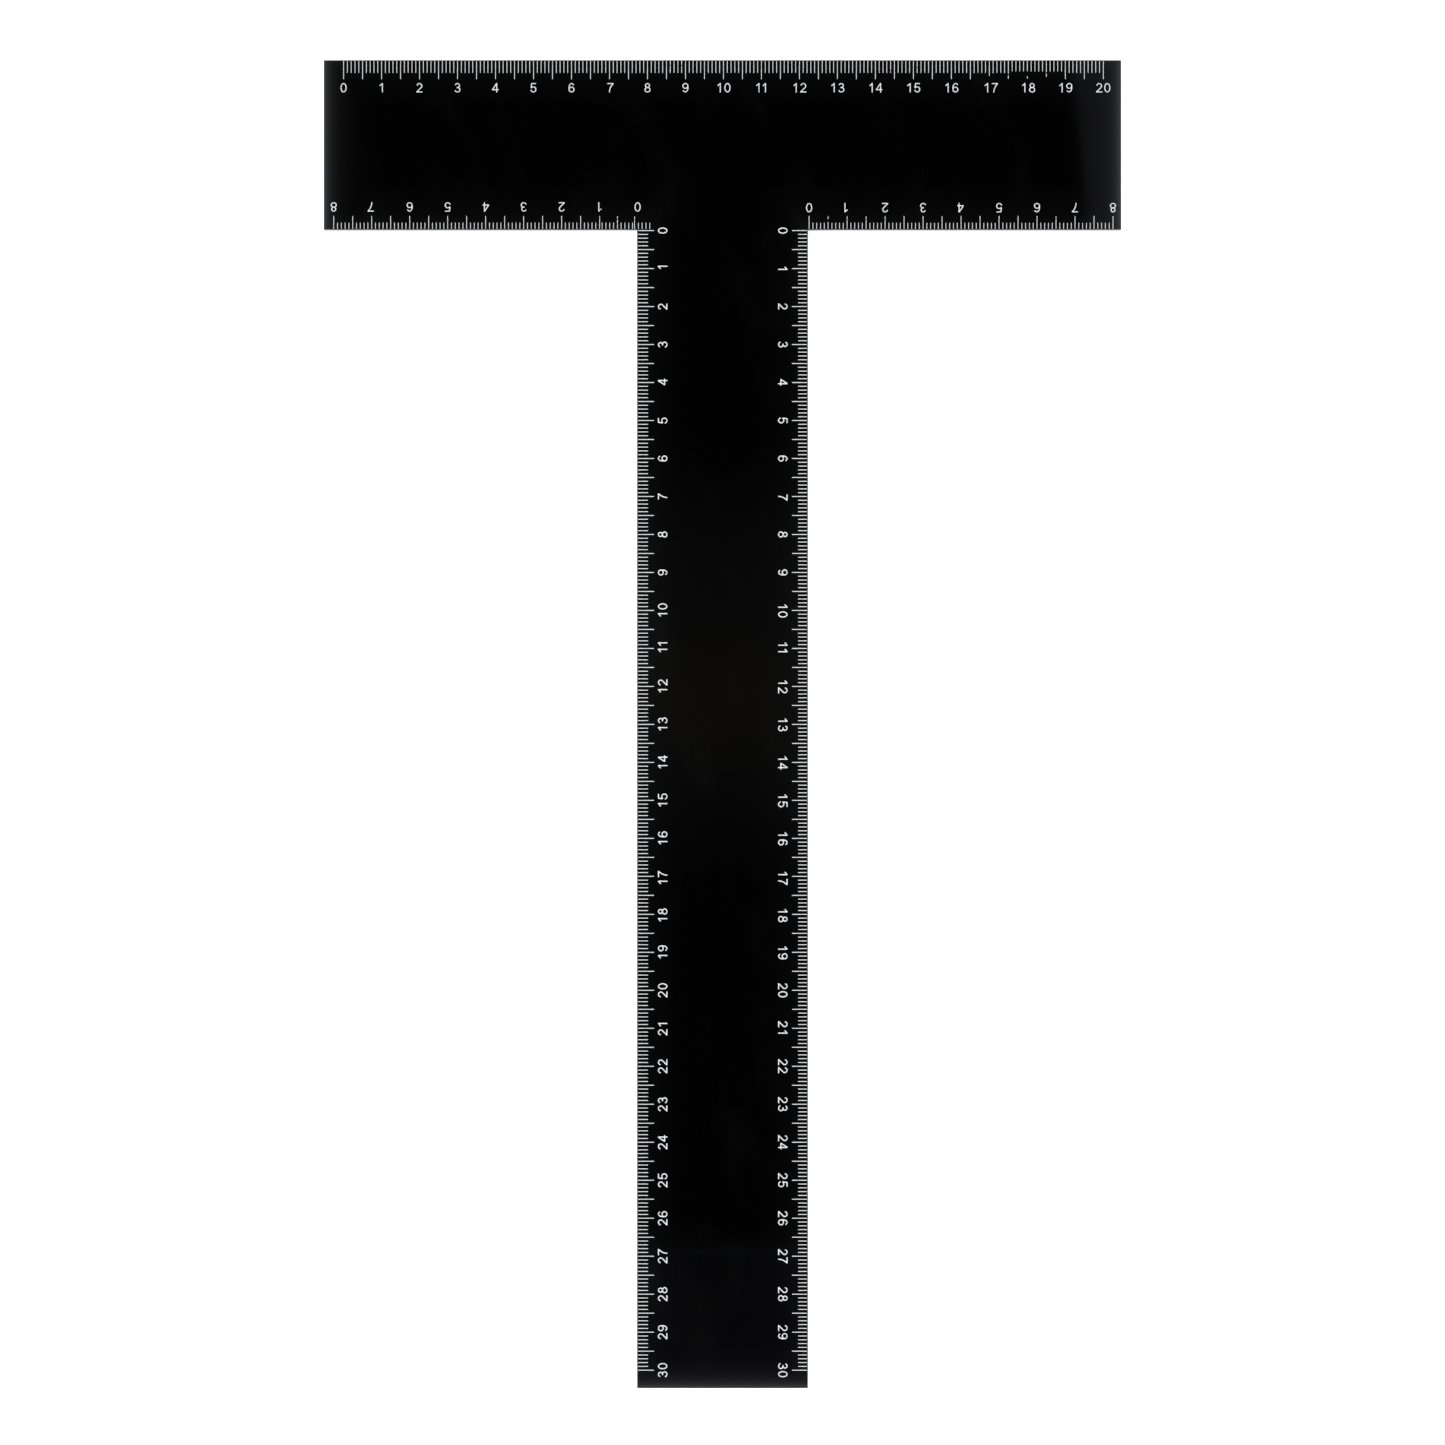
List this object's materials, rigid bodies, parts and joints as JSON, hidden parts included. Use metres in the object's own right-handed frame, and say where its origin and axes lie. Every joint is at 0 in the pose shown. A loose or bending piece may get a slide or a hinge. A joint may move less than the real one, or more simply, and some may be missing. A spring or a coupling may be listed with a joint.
{
  "type": "t square",
  "caption": "Flat black acrylic T square with white centimetre scales printed along the head and both edges of the blade.",
  "frame": {"origin": "middle of the head's guide edge (the edge the blade leaves from), on the underside", "axes": "+X along the head to the right, +Y across the head away from the blade (the blade runs along -Y), +Z out of the printed face"},
  "size_m": [0.21, 0.3497, 0.003],
  "materials": {
    "black_acrylic": "polished cast acrylic sheet, laser-cut edges",
    "white_ink": "screen-printed white ink, slightly satin"
  },
  "bodies": {
    "root": {"t_sheet": "black_acrylic", "head_top_cm_marks": "white_ink", "head_top_half_cm_marks": "white_ink", "head_top_mm_marks": "white_ink", "head_top_numerals": "white_ink", "head_left_cm_marks": "white_ink", "head_left_half_cm_marks": "white_ink", "head_left_mm_marks": "white_ink", "head_left_numerals": "white_ink", "head_right_cm_marks": "white_ink", "head_right_half_cm_marks": "white_ink", "head_right_mm_marks": "white_ink", "head_right_numerals": "white_ink", "blade_left_cm_marks": "white_ink", "blade_left_half_cm_marks": "white_ink", "blade_left_mm_marks": "white_ink", "blade_left_numerals": "white_ink", "blade_right_cm_marks": "white_ink", "blade_right_half_cm_marks": "white_ink", "blade_right_mm_marks": "white_ink", "blade_right_numerals": "white_ink"}
  },
  "joints": []
}
